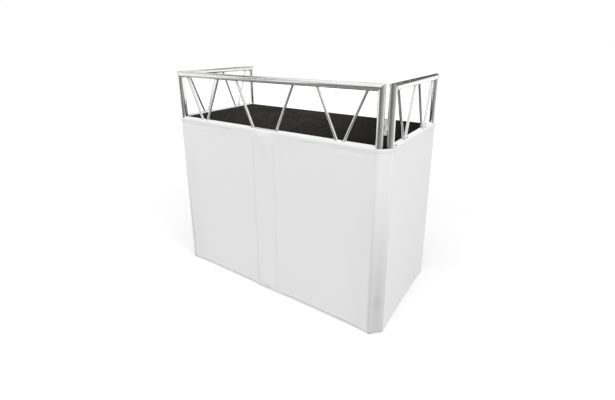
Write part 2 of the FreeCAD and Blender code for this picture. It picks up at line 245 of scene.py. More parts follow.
class Rule(Tree):
    """A geometry tree with named inputs, which is run on open paths."""

    def __init__(self, name, inputs):
        self.group = bpy.data.node_groups.new(name, "GeometryNodeTree")
        sockets = self.group.interface
        sockets.new_socket("Guide", in_out="INPUT", socket_type="NodeSocketGeometry")
        self.keys = {}
        for label, kind in inputs.items():
            self.keys[label] = sockets.new_socket(label, in_out="INPUT", socket_type=kind).identifier
        sockets.new_socket("Made", in_out="OUTPUT", socket_type="NodeSocketGeometry")
        super().__init__(self.group)

    def given(self, label):
        return self.node("NodeGroupInput", out=label)

    def close(self, instances):
        solid = self.node("GeometryNodeRealizeInstances", inputs={"Geometry": instances})
        finish = self.given("Finish")
        dressed = self.node("GeometryNodeSetMaterial", inputs={"Geometry": solid, "Material": finish})
        self.node("NodeGroupOutput", inputs={"Made": dressed})

    def run(self, name, paths, inputs):
        """The rule's result on open paths, as a plain mesh object."""
        vertices, edges = chain(paths)
        guide = bpy.data.meshes.new(name + "_guide")
        guide.from_pydata([tuple(v) for v in vertices], edges, [])
        piece = put(name, guide)
        modifier = piece.modifiers.new("rule", "NODES")
        modifier.node_group = self.group
        for label, value in inputs.items():
            modifier[self.keys[label]] = value
        graph = bpy.context.evaluated_depsgraph_get()
        made = bpy.data.meshes.new_from_object(piece.evaluated_get(graph))
        piece.modifiers.clear()
        piece.data = made
        made.shade_smooth()
        return piece


# Finishes

def rgb(red, green, blue):
    return (red, green, blue, 1.0)


def grey(level):
    return rgb(level, level, level)


def drawn_aluminium(name, stretch, fineness):
    """Bright drawn tube: fine die lines along it, soft cloudy patches and a few dull handling marks."""
    dull, bright, handled = rgb(0.860, 0.875, 0.858), rgb(0.925, 0.938, 0.922), rgb(0.700, 0.712, 0.698)
    finish = Finish(name)
    lines = finish.noise(finish.place(stretch), scale=fineness, detail=2.0, roughness=0.6)
    cloud = finish.noise(finish.place(), scale=24.0, detail=3.0, roughness=0.5)
    specks = finish.noise(finish.place(), scale=130.0, detail=4.0, roughness=0.65)
    marks = finish.span(specks, 0.62, 0.74)
    colour = finish.mix(finish.span(cloud, 0.35, 0.7), dull, bright)
    colour = finish.mix(marks * 0.3, colour, handled)
    rough = 0.13 + finish.span(lines, 0.35, 0.65) * 0.06
    rough = rough + finish.span(cloud, 0.3, 0.7) * 0.06 + marks * 0.1
    return finish.surface({
        "Base Color": colour, "Metallic": 1.0, "Roughness": rough,
        "Normal": finish.bump(lines, strength=0.04, distance=0.0002),
    })


def weld_metal():
    """Weld beads, sooty in places."""
    sooty, clean = rgb(0.34, 0.34, 0.34), rgb(0.72, 0.72, 0.73)
    finish = Finish("weld_metal")
    soot = finish.noise(finish.place(), scale=160.0, detail=3.0, roughness=0.6)
    colour = finish.mix(finish.span(soot, 0.35, 0.65), sooty, clean)
    rough = 0.28 + finish.span(soot, 0.3, 0.7) * 0.2
    return finish.surface({"Base Color": colour, "Metallic": 1.0, "Roughness": rough})


def zinc_plate():
    """Plated hinges, straps, bolts and screws, with a fine spangle."""
    dull, bright = rgb(0.82, 0.83, 0.84), rgb(0.97, 0.97, 0.98)
    finish = Finish("zinc_plate")
    spangle = finish.noise(finish.place(), scale=260.0, detail=2.0, roughness=0.5)
    colour = finish.mix(spangle, dull, bright)
    return finish.surface({
        "Base Color": colour, "Metallic": 0.5, "Roughness": 0.32 + spangle * 0.2,
        "Normal": finish.bump(spangle, strength=0.1, distance=0.0004),
    })


def black_rubber():
    """Feet, with some floor dust on them."""
    clean, dusty = rgb(0.018, 0.018, 0.019), rgb(0.075, 0.073, 0.07)
    finish = Finish("black_rubber")
    dust = finish.noise(finish.place(), scale=120.0, detail=4.0, roughness=0.6)
    colour = finish.mix(finish.span(dust, 0.45, 0.8), clean, dusty)
    return finish.surface({
        "Base Color": colour, "Roughness": 0.62 + dust * 0.25,
        "Normal": finish.bump(dust, strength=0.25, distance=0.0006),
    })


def grey_plastic():
    """Moulded plugs with a fine grain."""
    dark, light = rgb(0.40, 0.40, 0.41), rgb(0.52, 0.52, 0.53)
    finish = Finish("grey_plastic")
    grain = finish.noise(finish.place(), scale=700.0, detail=3.0, roughness=0.6)
    colour = finish.mix(grain, dark, light)
    return finish.surface({
        "Base Color": colour, "Roughness": 0.42 + grain * 0.2,
        "Normal": finish.bump(grain, strength=0.15, distance=0.0003),
    })


def black_board():
    """Black-stained plywood: long grain, and the plies on the edge still show through the stain."""
    dark, light, ply = rgb(0.012, 0.011, 0.011), rgb(0.040, 0.036, 0.033), rgb(0.055, 0.046, 0.038)
    finish = Finish("black_board")
    grain = finish.noise(finish.place((1.2, 14.0, 40.0)), scale=30.0, detail=6.0, roughness=0.6)
    plies = finish.noise(finish.place((0.01, 0.01, 1.0)), scale=420.0, detail=1.0, roughness=0.3)
    colour = finish.mix(finish.span(grain, 0.3, 0.75), dark, light)
    colour = finish.mix(finish.span(plies, 0.5, 0.6) * 0.5, colour, ply)
    return finish.surface({
        "Base Color": colour, "Roughness": 0.5 + grain * 0.2,
        "Normal": finish.bump(grain, strength=0.2, distance=0.0005),
    })


def black_carpet():
    """Needle-punched carpet: matted tufts in patches, deeper black at the right-hand end."""
    dark, light = rgb(0.0040, 0.0038, 0.0035), rgb(0.0540, 0.0506, 0.0467)
    between_tufts, fibre_end = rgb(0.0040, 0.0037, 0.0034), rgb(0.070, 0.066, 0.061)
    deep_black = rgb(0.0030, 0.0028, 0.0026)
    finish = Finish("black_carpet")
    patches = finish.noise(finish.place((1.0, 1.5, 1.0)), scale=52.0, detail=4.0, roughness=0.65)
    cloud = finish.noise(finish.place(), scale=5.0, detail=3.0, roughness=0.5)
    tuft_place = finish.place((1.0, 1.4, 1.4))
    tufts = finish.node("ShaderNodeTexVoronoi", inputs={"Vector": tuft_place, "Scale": 330.0})
    fibre = finish.noise(finish.place(), scale=900.0, detail=3.0, roughness=0.7)
    along = finish.node("ShaderNodeSeparateXYZ", inputs={"Vector": finish.place()}, out="X")
    tone = finish.span(patches, 0.36, 0.64) * 0.7 + finish.span(cloud, 0.3, 0.7) * 0.3
    colour = finish.mix(tone, dark, light)
    colour = finish.mix(finish.span(tufts, 0.25, 0.75) * 0.5, colour, between_tufts)
    colour = finish.mix(finish.span(fibre, 0.52, 0.72) * 0.5, colour, fibre_end)
    colour = finish.mix(finish.span(along, 0.05, 0.5, to_high=0.7), colour, deep_black)
    pile = fibre * 0.6 + (1 - tufts) * 0.4
    return finish.surface({
        "Base Color": colour, "Roughness": 0.55 + fibre * 0.08, "Specular IOR Level": 0.002,
        "Sheen Weight": 0.01, "Sheen Roughness": 0.5,
        "Normal": finish.bump(pile, strength=0.8, distance=0.0018),
    })


def white_knit():
    """Stretch knit: rows of fine loops, slight slubs, and grey painted shade where its shade mask says."""
    thin, thick = rgb(0.845, 0.845, 0.848), rgb(0.868, 0.868, 0.868)
    between_loops, painted_shade_grey = rgb(0.70, 0.70, 0.71), rgb(0.36, 0.36, 0.37)
    finish = Finish("white_knit")
    loops = finish.bands(finish.cloth_place(), direction="X", scale=420.0, distortion=0.6) * 0.5
    loops = loops + finish.bands(finish.cloth_place(), direction="Y", scale=360.0, distortion=0.5) * 0.5
    slub = finish.noise(finish.cloth_place((1.0, 3.0, 1.0)), scale=60.0, detail=4.0, roughness=0.6)
    colour = finish.mix(finish.span(slub, 0.3, 0.7), thin, thick)
    colour = finish.mix(finish.span(loops, 0.0, 0.35, to_low=0.10, to_high=0.0), colour, between_loops)
    colour = finish.mix(finish.mask("shade_mask"), colour, painted_shade_grey)
    return finish.surface({
        "Base Color": colour, "Roughness": 0.7 + slub * 0.12, "Specular IOR Level": 0.3,
        "Sheen Weight": 0.1, "Sheen Roughness": 0.4,
        "Normal": finish.bump(loops, strength=0.35, distance=0.0003),
    })


def sewing_thread():
    """White thread with a fine twist."""
    dark, light = rgb(0.76, 0.76, 0.76), rgb(0.87, 0.87, 0.87)
    finish = Finish("sewing_thread")
    twist = finish.noise(finish.place(), scale=2600.0, detail=2.0, roughness=0.5)
    return finish.surface({"Base Color": finish.mix(twist, dark, light), "Roughness": 0.6})


# Die lines are drawn out along a tube; the rods lean, so theirs are left as patches
DRAWN_OUT = 0.02
TUBE_LINES = 420.0
ROD_LINES = 45.0
tube_along_x = drawn_aluminium("aluminium_along_x", (DRAWN_OUT, 1.0, 1.0), TUBE_LINES)
tube_along_y = drawn_aluminium("aluminium_along_y", (1.0, DRAWN_OUT, 1.0), TUBE_LINES)
tube_upright = drawn_aluminium("aluminium_upright", (1.0, 1.0, DRAWN_OUT), TUBE_LINES)
brace_rod = drawn_aluminium("aluminium_rod", (1.0, 1.0, 1.0), ROD_LINES)
weld_finish = weld_metal()
zinc_finish = zinc_plate()
rubber_finish = black_rubber()
plastic_finish = grey_plastic()
board_finish = black_board()
carpet_finish = black_carpet()
knit_finish = white_knit()
thread_finish = sewing_thread()


def finish_of(node):
    if node.endswith(("ledge", "rail")):
        return tube_along_y if "side" in node else tube_along_x
    if node.endswith("post"):
        return tube_upright
    if node.endswith("brace"):
        return brace_rod
    if node.endswith("feet"):
        return rubber_finish
    if node.endswith("plugs"):
        return plastic_finish
    if node == "table_board":
        return board_finish
    return zinc_finish


for node, item in nodes.items():
    item.data.materials.clear()
    item.data.materials.append(finish_of(node))


# Gates

class Gate:
    """A flat gate of the frame: u runs along it, v runs outwards from its tubes."""

    def __init__(self, body, origin, run, out, mirrored):
        self.body = body
        self.origin = Vector(origin)
        self.run = Vector(run)
        self.out = Vector(out)
        self.mirrored = mirrored

    def at(self, u, v, z):
        return self.origin + self.run * u + self.out * v + Vector((0, 0, z))


GATES = {
    "front_left": Gate("front_left", (0, FRONT_Y, 0), (-1, 0, 0), (0, -1, 0), True),
    "front_right": Gate("front_right", (0, FRONT_Y, 0), (1, 0, 0), (0, -1, 0), False),
    "left_side": Gate("left_side", (-SIDE_X, SIDE_Y, 0), (0, 1, 0), (-1, 0, 0), True),
    "right_side": Gate("right_side", (SIDE_X, SIDE_Y, 0), (0, 1, 0), (1, 0, 0), False),
}


# Weld beads and stitches, set along a path

def bead_rule():
    """Beads along a path: the ripples of a weld where they overlap, or stitches where they stand apart."""
    rule = Rule("beads_on_path", {
        "Spacing": "NodeSocketFloat", "Length": "NodeSocketFloat", "Width": "NodeSocketFloat",
        "Seed": "NodeSocketInt", "Finish": "NodeSocketMaterial",
    })
    line = rule.node("GeometryNodeMeshToCurve", inputs={"Mesh": rule.given("Guide")})
    stations = rule.node(
        "GeometryNodeResampleCurve", {"mode": "LENGTH"}, {"Curve": line, "Length": rule.given("Spacing")})
    along = rule.node("GeometryNodeInputTangent")
    turn = rule.node("FunctionNodeAlignRotationToVector", {"axis": "X"}, {"Vector": along})
    least, greatest = 0.85, 1.15
    # Inputs 2 and 3 are the least and the greatest number, and output 1 is the number drawn
    uneven = rule.node(
        "FunctionNodeRandomValue", {"data_type": "FLOAT"},
        {2: least, 3: greatest, "Seed": rule.given("Seed")}, out=1)
    size = rule.node("ShaderNodeCombineXYZ", inputs={
        "X": rule.given("Length") * uneven, "Y": rule.given("Width") * uneven, "Z": rule.given("Width")})
    bead = rule.node("GeometryNodeMeshUVSphere", inputs={"Segments": 8, "Rings": 5, "Radius": 0.5})
    beads = rule.node("GeometryNodeInstanceOnPoints", inputs={
        "Points": stations, "Instance": bead, "Rotation": turn, "Scale": size})
    rule.close(beads)
    return rule


beads_on_path = bead_rule()
WELD_BEADS = {"Spacing": 0.0016, "Length": 0.0028, "Width": 0.0030, "Seed": 3, "Finish": weld_finish}
HEM_STITCHES = {"Spacing": 0.0042, "Length": 0.0029, "Width": 0.0006, "Seed": 5, "Finish": thread_finish}


def arc(start_deg, end_deg, steps):
    return [radians(start_deg + (end_deg - start_deg) * i / steps) for i in range(steps + 1)]


def mitre_path(gate, u, away):
    """The weld of a top corner, which is ground flush round the corner's outer edge."""
    ring = []
    for turn in arc(start_deg=55, end_deg=305, steps=36):
        across = away * TUBE_R * cos(turn)
        ring.append(gate.at(u + across, TUBE_R * sin(turn), TOP_Z + TUBE_R * cos(turn)))
    return ring


def rail_end_path(gate, u, away, z):
    """The inner half of the weld between a level rail and the post at u."""
    return [gate.at(u - away * TUBE_R * abs(sin(turn)), -TUBE_R * cos(turn), z + TUBE_R * sin(turn))
            for turn in arc(start_deg=-63, end_deg=100.2, steps=16)]


def rod_tip_path(gate, foot_u, tip_u):
    """The weld round the top of a brace rod, where it meets the top rail."""
    along = Vector((tip_u - foot_u, TOP_Z - MID_Z)).normalized()
    ring = []
    for turn in arc(start_deg=0, end_deg=360, steps=24):
        side = ROD_R * cos(turn)
        v = ROD_R * sin(turn)
        z = TOP_Z - sqrt(TUBE_R ** 2 - v ** 2)
        rise = (z - (MID_Z - side * along.x)) / along.y
        ring.append(gate.at(foot_u + side * along.y + rise * along.x, v, z))
    return ring


def weld(gate, posts, rods):
    """The welds of a gate. Each post is its place along the gate, and which way is away from the rails."""
    paths = [mitre_path(gate, u, away) for u, away in posts]
    paths += [rail_end_path(gate, u, away, z) for u, away in posts for z in (MID_Z, LOW_Z)]
    paths += [rod_tip_path(gate, foot, tip) for foot, tip in rods]
    piece = beads_on_path.run(f"{gate.body}_welds", paths, WELD_BEADS)
    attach(piece, gate.body)


for side in ("left", "right"):
    weld(GATES[f"front_{side}"], [(POST_X, 1)], FRONT_RODS)
    weld(GATES[f"{side}_side"], [(0, -1), (SIDE_LENGTH, 1)], SIDE_RODS)


# Closed sheets round a grid of points

SHARP_FROM = radians(50)


def normals(points):
    """The way that a grid of points faces, at each point."""
    normal = np.cross(np.gradient(points, axis=0), np.gradient(points, axis=1))
    return normal / np.linalg.norm(normal, axis=2, keepdims=True)


def sheet_faces(rows, columns):
    """Faces of a closed sheet: its outer side, its inner side and the rim that joins them."""
    count = rows * columns
    starts = [r * columns + c for r in range(rows - 1) for c in range(columns - 1)]
    cells = [(i, i + 1, i + columns + 1, i + columns) for i in starts]
    ring = list(range(columns))
    ring += [r * columns + columns - 1 for r in range(1, rows)]
    ring += [(rows - 1) * columns + c for c in range(columns - 2, -1, -1)]
    ring += [r * columns for r in range(rows - 2, 0, -1)]
    outer = [cell[::-1] for cell in cells]
    inner = [tuple(count + i for i in cell) for cell in cells]
    rim = [(a, b, count + b, count + a) for a, b in zip(ring, ring[1:] + ring[:1])]
    return outer + inner + rim


def cloth_lengths(points):
    """Lengths across and along a sheet, in metres, at each point of its grid."""
    along = np.cumsum(np.linalg.norm(np.diff(points, axis=0), axis=2), axis=0)
    across = np.cumsum(np.linalg.norm(np.diff(points, axis=1), axis=2), axis=1)
    return np.stack([np.pad(across, ((0, 0), (1, 0))), np.pad(along, ((1, 0), (0, 0)))], axis=2)


def sheet_piece(name, points, shade_mask, finish, thick):
    """A closed sheet, with a cloth UV map in metres and a mask of painted shade."""
    rows, columns = points.shape[:2]
    half = normals(points) * np.broadcast_to(thick, (rows, columns))[..., None] / 2
    sides = np.concatenate([(points + half).reshape(-1, 3), (points - half).reshape(-1, 3)])
    mesh = bpy.data.meshes.new(name)
    mesh.from_pydata(sides.tolist(), [], sheet_faces(rows, columns))
    mesh.materials.append(finish)
    mesh.shade_smooth()
    mesh.set_sharp_from_angle(angle=SHARP_FROM)
    flat = np.tile(cloth_lengths(points).reshape(-1, 2), (2, 1))
    corners = np.zeros(len(mesh.loops), dtype=np.int32)
    mesh.loops.foreach_get("vertex_index", corners)
    layer = mesh.uv_layers.new(name="cloth")
    layer.data.foreach_set("uv", flat[corners].astype(np.float32).reshape(-1))
    mask = mesh.attributes.new("shade_mask", "FLOAT", "POINT")
    mask.data.foreach_set("value", np.tile(shade_mask.reshape(-1), 2).astype(np.float32))
    piece = put(name, mesh)
    return piece


def turned(points, shade_mask, mirrored):
    """A grid and its mask, with the columns in the order that faces outwards."""
    return (points[:, ::-1], shade_mask[:, ::-1]) if mirrored else (points, shade_mask)


def spread(*stops):
    """Places from the first stop to the last: each stop is a place and the step after it."""
    places = []
    for (start, step), (end, _) in zip(stops, stops[1:]):
        count = max(1, round(abs((end - start) / step)))
        places += [start + (end - start) * i / count for i in range(count)]
    return np.array(places + [stops[-1][0]])


# How stretched cloth lies, and the shade painted on it

def ease(value, low, high):
    """0 at low, 1 at high, smooth between them."""
    t = np.clip((value - low) / (high - low), 0, 1)
    return t * t * (3 - 2 * t)


def hump(distance, width, power=2):
    """1 at no distance, falling smoothly to nothing past this width."""
    return exp(-(distance / width) ** power)


def beside_tube(distance, depth, reach):
    """How far stretched cloth stands in beside a tube that it rests on."""
    return depth * (1 - exp(-max(distance, 0) / reach))


def between_rails(z):
    """1 between the mid rail and the bottom rail, falling to 0 at each."""
    return beside_tube(MID_Z - z, depth=1, reach=0.016) * beside_tube(z - LOW_Z, depth=1, reach=0.02)


def bent(length, bend):
    """Where a strip of cloth ends, up and back, that leaves a straight face with this bend."""
    almost_straight = 1e-6
    angle = bend * length / CLOTH_R
    if angle < almost_straight:
        return length, 0.0
    return CLOTH_R / bend * sin(angle), CLOTH_R / bend * (1 - cos(angle))


def hem_by_post(distance):
    """How much of the top edge is a folded hem, at this distance from a post's axis."""
    return ease(distance, POST_MARGIN + HEM_TURN, POST_MARGIN - HEM_TURN)


def folded(part):
    """A place on the hem, from the front over its fold to the cut edge inside: out of the face, height."""
    turn = pi * min(part / HEM_FOLD_PART, 1)
    inside = max(part - HEM_FOLD_PART, 0) / (1 - HEM_FOLD_PART)
    return HEM_FOLD_R * (1 + cos(turn)), HEM_FOLD_Z + HEM_FOLD_R * sin(turn) - HEM_DEPTH * inside


def hem_band(z):
    """How far the doubled hem stands out of the face at this height."""
    low_z = HEM_FOLD_Z - HEM_DEPTH
    flush_z, full_z = low_z - 0.0045, low_z - 0.0015
    return 2 * HEM_FOLD_R * ease(z, flush_z, full_z)


def under_hem_shade(z):
    """Painted shadow: a soft dark line under the doubled hem."""
    line_z, line_width, line_shade = HEM_FOLD_Z - HEM_DEPTH - 0.006, 0.003, 0.14
    return line_shade * hump(z - line_z, line_width)


def notch_edge_shade(over, part):
    """Painted shadow along the notch's edge, where the cloth stops short on the rail."""
    near_edge = ease(part, 0.80, 0.92)
    stops_short = ease(over, OVER_NOTCH * 1.3, OVER_NOTCH)
    return SLIT_SHADE * near_edge * stops_short


def gap_shade(z, midway=0.0):
    """Painted shade where the gap between the corner posts lies behind the cloth, deeper towards the floor
    and midway across.
    """
    clear_z, deep_z = 0.80, 0.10
    deepest, at_posts = 0.46, 0.8
    return deepest * ease(z, clear_z, deep_z) * (at_posts + (1 - at_posts) * midway)


def centre_post_shade(u, z):
    """Painted shade: a soft dark line along a centre post."""
    line_width, line_shade = 0.007, 0.075
    below_rail = ease(z, 0.83, 0.78)
    return line_shade * hump(abs(u) - CENTRE_POST_X, line_width) * below_rail


def rod_feet(rods):
    """Where each brace rod stands on top of the mid rail."""
    return [foot + (tip - foot) * TUBE_R / (TOP_Z - MID_Z) for foot, tip in rods]


# Rows of a cover: parts of the way over the mid rail, lengths down the face, parts of the way under
TOP_ROWS = np.linspace(1, 0, 29)[:-1]
FACE_ROWS = spread(
    (0.0, 0.0015), (0.012, 0.003), (0.03, 0.006), (0.09, 0.011), (0.70, 0.009), (0.80, 0.004),
    (MID_Z - LOW_Z, 0))
LOW_ROWS = np.linspace(0, 1, 7)[1:]
# The stitches run along the last row of the face but one
STITCH_ROW = len(TOP_ROWS) + len(FACE_ROWS) - 2

# Columns of a cover, as places along its gate
FRONT_PLACES = spread(
    (CENTRE_POST_X, 0.002), (0.088, 0.005), (0.12, 0.008), (0.372, 0.002), (0.436, 0.008),
    (0.53, 0.004), (0.551, 0.0015), (POST_X, 0))
SIDE_PLACES = spread(
    (0.0, 0.0015), (0.024, 0.004), (0.05, 0.007), (0.125, 0.002), (0.18, 0.007), (0.375, 0.002),
    (0.43, 0.007), (0.52, 0.004), (0.532, 0.0015), (SIDE_LENGTH, 0.003),
    (SIDE_LENGTH + CLOTH_R * radians(130), 0))
half_places = spread((0, 0.001), (0.006, 0.003), (0.03, 0.006), (0.05, 0.002), (CENTRE_POST_X, 0))
CENTRE_PLACES = np.concatenate([-half_places[:0:-1], half_places])


# Cloth on the gates

class Cover:
    """Cloth on one gate: over the mid rail, down the face and under the bottom rail."""

    places = ()
    feet = ()
    wraps_at = inf
    # The low edge is darkened by this much painted shade
    low_edge_shade = 0.1
    slit_radius, slit_width = 0.0066, 0.0034

    def __init__(self, gate):
        self.gate = gate

    def edges(self, u):
        """How far the cloth goes past the front of the mid rail, how much of its top edge is a folded
        hem, and how much of its low edge bends round the bottom rail."""
        raise NotImplementedError

    def relief(self, u, z):
        """How far the face stands in from the front of the tubes, or out of it where this is below 0."""
        raise NotImplementedError

    def painted_shade(self, u, z):
        """How dark the face is painted, as shade where a tube or a gap lies behind it."""
        raise NotImplementedError

    def pucker(self, u, past):
        """The raised lip round each brace rod on top of the rail, and the painted shade of the slit round
        it.
        """
        lip, slit_shade = 0.0, 0.0
        for foot in self.feet:
            away = sqrt((u - foot) ** 2 + (past - RAIL_TOP) ** 2)
            lip += LIP_HEIGHT * hump(away - LIP_RADIUS, LIP_WIDTH)
            slit_shade += SLIT_SHADE * hump(away - self.slit_radius, self.slit_width)
        return lip, min(slit_shade, SLIT_SHADE)

    def stand(self, u):
        """The foot of the gate's face at u, and the way that it faces there."""
        turn = max(u - self.wraps_at, 0) / CLOTH_R
        facing = self.gate.out * cos(turn) + self.gate.run * sin(turn)
        return self.gate.at(min(u, self.wraps_at), 0, 0), facing

    def over_rail(self, u):
        """Rows from the top edge to the front of the mid rail: out of the gate, height and shade."""
        over, hem, _ = self.edges(u)
        swell = -min(self.relief(u, MID_Z), 0)
        for part in TOP_ROWS:
            past = over * part
            angle = past / CLOTH_R
            rise, back = bent(past, 1.0)
            lip, slit_shade = self.pucker(u, past)
            out = CLOTH_R - back + (lip + swell * (1 - part) ** 2) * cos(angle)
            z = MID_Z + rise + lip * sin(angle)
            fold_out, fold_z = folded(part)
            out += (CLOTH_R + fold_out - out) * hem
            z += (fold_z - z) * hem
            yield out, z, max(slit_shade, notch_edge_shade(over, part)) * (1 - hem)

    def down_face(self, u):
        """Rows from the front of the mid rail to the front of the bottom rail."""
        _, hem, _ = self.edges(u)
        for down in FACE_ROWS:
            z = MID_Z - down
            out = CLOTH_R - self.relief(u, z) + hem * hem_band(z)
            yield out, z, self.painted_shade(u, z) + hem * under_hem_shade(z)

    def under_rail(self, u):
        """Rows from the front of the bottom rail to the low edge, which has painted shade."""
        _, _, low_bend = self.edges(u)
        swell = -min(self.relief(u, LOW_Z), 0)
        length = UNDER_RAIL * low_bend + (LOW_Z - LOW_EDGE_Z) * (1 - low_bend)
        for part in LOW_ROWS:
            fall, back = bent(length * part, low_bend)
            shade = self.painted_shade(u, LOW_Z) + self.low_edge_shade * ease(part, 0.5, 1.0)
            yield CLOTH_R - back + swell * (1 - part) ** 2, LOW_Z - fall, shade

    def grid(self):
        """The cover's points, and the shade painted at each."""
        columns, shades = [], []
        for u in self.places:
            base, facing = self.stand(u)
            rows = [*self.over_rail(u), *self.down_face(u), *self.under_rail(u)]
            columns.append([tuple(base + facing * out + Vector((0, 0, z))) for out, z, _ in rows])
            shades.append([shade for _, _, shade in rows])
        points = np.array(columns).transpose(1, 0, 2)
        return turned(points, np.array(shades).transpose(1, 0), self.gate.mirrored)


class FrontCover(Cover):
    """Cloth of a front half: a notch at the seam, a crease and a groove, and a hollow low corner."""

    places = FRONT_PLACES
    feet = rod_feet(FRONT_RODS)
    # The crease and the groove lie under the mid rail, the groove nearer the corner; a painted shadow line
    # lies under the crease
    crease_u, crease_z, crease_out = 0.245, 0.8455, 0.0012
    under_crease_z, under_crease_shade = 0.8395, 0.28
    groove_z, groove_in = 0.829, 0.0018
    # The low corner is drawn in, with painted shade in its hollow, and a painted dark line runs beside the
    # end post
    corner_in, corner_shade = 0.0024, 0.07
    post_line_u, post_line_shade = POST_X - 0.011, 0.16

    def edges(self, u):
        past_notch = ease(u, NOTCH_X - 0.001, NOTCH_X + 0.003)
        over = OVER_NOTCH + (OVER_RAIL - OVER_NOTCH) * past_notch
        low_bend = ease(u, POST_X, POST_X - LOW_BEND_RUN)
        low_bend *= ease(u, CENTRE_POST_X + 0.012, CENTRE_POST_X + 0.07)
        return over, hem_by_post(POST_X - u), low_bend

    def relief(self, u, z):
        low_corner = self.corner_in * ease(u, POST_X - 0.16, POST_X) * ease(z, 0.75, 0.35)
        by_centre = beside_tube(u - CENTRE_POST_X, depth=STAND_IN, reach=0.012)
        by_corner = beside_tube(POST_X - u, depth=STAND_IN + low_corner, reach=0.013)
        crease = self.crease_out * hump(z - self.crease_z, 0.0028) * hump(u - self.crease_u, 0.035)
        groove = self.groove_in * hump(z - self.groove_z, 0.008)
        groove *= ease(u, 0.30, 0.42) * ease(u, POST_X, POST_X - 0.03)
        return min(by_centre, by_corner) * between_rails(z) - crease + groove

    def painted_shade(self, u, z):
        # Painted shade: the line beside the end post, the corner gap, the hollow corner and under the
        # crease
        line = self.post_line_shade * hump(u - self.post_line_u, 0.004) * ease(z, 0.66, 0.2)
        gap = gap_shade(z) * ease(u, POST_X - 0.012, POST_X - 0.003)
        hollow_shade = self.corner_shade * ease(u, POST_X - 0.17, POST_X - 0.02) * ease(z, 0.80, 0.35)
        under_crease = self.under_crease_shade * hump(z - self.under_crease_z, 0.0024)
        under_crease *= hump(u - self.crease_u, 0.045)
        return centre_post_shade(u, z) + under_crease + max(line, gap, hollow_shade)


class SideCover(Cover):
    """Cloth of a side, which goes on round the rear post."""

    places = SIDE_PLACES
    feet = rod_feet(SIDE_RODS)
    wraps_at = SIDE_LENGTH
    slit_radius, slit_width = 0.0085, 0.0045
    # The cut beside the front post is painted shade, and small gathers lie below it
    cut_shade = 0.85
    gather_z, gather_pitch, gather_lean, gather_out = 0.822, 0.013, 0.6, 0.0006
    # The painted shade of the corner gap reaches this far onto the side
    gap_reach = 0.007

    def edges(self, u):
        hem = max(hem_by_post(u), hem_by_post(SIDE_LENGTH - u))
        low_bend = ease(u, 0.0, LOW_BEND_RUN) * ease(u, SIDE_LENGTH, SIDE_LENGTH - LOW_BEND_RUN)
        return OVER_RAIL, hem, low_bend

    def relief(self, u, z):
        by_front = beside_tube(u, depth=STAND_IN, reach=0.015)
        by_rear = beside_tube(SIDE_LENGTH - u, depth=STAND_IN, reach=0.015)
        gathers = self.gather_out * sin((z + self.gather_lean * u) * 2 * pi / self.gather_pitch)
        gathers *= hump(u - POST_CUT_U, 0.018) * hump(z - self.gather_z, 0.02)
        return min(by_front, by_rear) * between_rails(z) + gathers

    def painted_shade(self, u, z):
        return gap_shade(z) * ease(u, self.gap_reach, 0.0)

    def pucker(self, u, past):
        """As on every gate, with painted shade for the cut in the cloth beside the front post."""
        lip, slit_shade = super().pucker(u, past)
        cut = self.cut_shade * hump(u - POST_CUT_U, 0.011, power=4)
        cut *= hump(past - POST_CUT_PAST, 0.006, power=4)
        return lip, max(slit_shade, cut)


class CentreCover(Cover):
    """Cloth across the seam, with a soft swelling over each pivot."""

    places = CENTRE_PLACES

    def edges(self, u):
        return OVER_NOTCH, 0.0, 0.0

    def swelling(self, past):
        """The height of a swelling: steep past its pivot, and long towards the middle of the panel."""
        return hump(past, 0.028, power=4) if past > 0 else hump(past, 0.06)

    def relief(self, u, z):
        sag = beside_tube(CENTRE_POST_X - abs(u), depth=0.0012, reach=0.012) * between_rails(z)
        across = max(cos(pi / 2 * u / CENTRE_POST_X), 0) ** 1.5
        over_pivots = self.swelling(z - PIVOT_HIGH_Z) + self.swelling(PIVOT_LOW_Z - z)
        return sag - PIVOT_SWELL * across * over_pivots

    def painted_shade(self, u, z):
        return centre_post_shade(u, z)


def stitches(name, points, row):
    """Stitches along one row of a sheet's grid, on its outer face."""
    path = [Vector(p) for p in points[row] + normals(points)[row] * CLOTH_THICK / 2]
    piece = beads_on_path.run(name, [path], HEM_STITCHES)
    return piece


def cloth_panel(name, grid, stitch_row, node):
    """A panel of stretch cloth that stands for a plain node, and the stitches of its hem."""
    points, shade_mask = grid
    piece = sheet_piece(name, points, shade_mask, knit_finish, CLOTH_THICK)
    hem = stitches(f"{name}_stitches", points, stitch_row)
    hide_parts(node)
    return piece, hem


def dress_gate(panel, cover):
    """The panel of a front half or of a side."""
    body = cover.gate.body
    piece, hem = cloth_panel(panel, cover.grid(), STITCH_ROW, f"{body}_cover")
    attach(piece, body)
    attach(hem, body)


def dress_centre():
    """The panel across the seam, laid out from the seam along the right-hand gate."""
    cover = CentreCover(GATES["front_right"])
    piece, hem = cloth_panel("centre_panel", cover.grid(), STITCH_ROW, "centre_cover_strip")
    for part in (piece, hem):
        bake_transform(part)


# Cloth on the corners: an eighth of each post, and the hinge gap between them

POST_EIGHTH = CLOTH_R * pi / 4
CORNER_FRONT = Vector((POST_X, FRONT_Y, 0))
CORNER_GAP = Vector((SIDE_X - POST_X, SIDE_Y - FRONT_Y, 0))
CORNER_WIDTH = 2 * POST_EIGHTH + CORNER_GAP.length
CORNER_PLACES = spread(
    (0, POST_EIGHTH / 8), (POST_EIGHTH, 0.003), (CORNER_WIDTH - POST_EIGHTH, POST_EIGHTH / 8),
    (CORNER_WIDTH, 0))
# Midway across the gap the cloth sags by this much, and the hem stands out less by this part
CORNER_SAG = 0.0008
HEM_LOSS = 0.6

# Rows of a corner strip: out of the face, and height
FOLD_ROWS = TOP_ROWS[::2]
STRIP_ROWS = [folded(part) for part in FOLD_ROWS]
STRIP_ROWS += [(hem_band(z), z) for z in spread(
    (HEM_FOLD_Z, 0.0015), (0.838, 0.004), (0.82, 0.012), (0.05, 0.005), (LOW_EDGE_Z, 0))]
# The stitches run along the sixth row below the fold
STRIP_STITCH_ROW = len(FOLD_ROWS) + 5


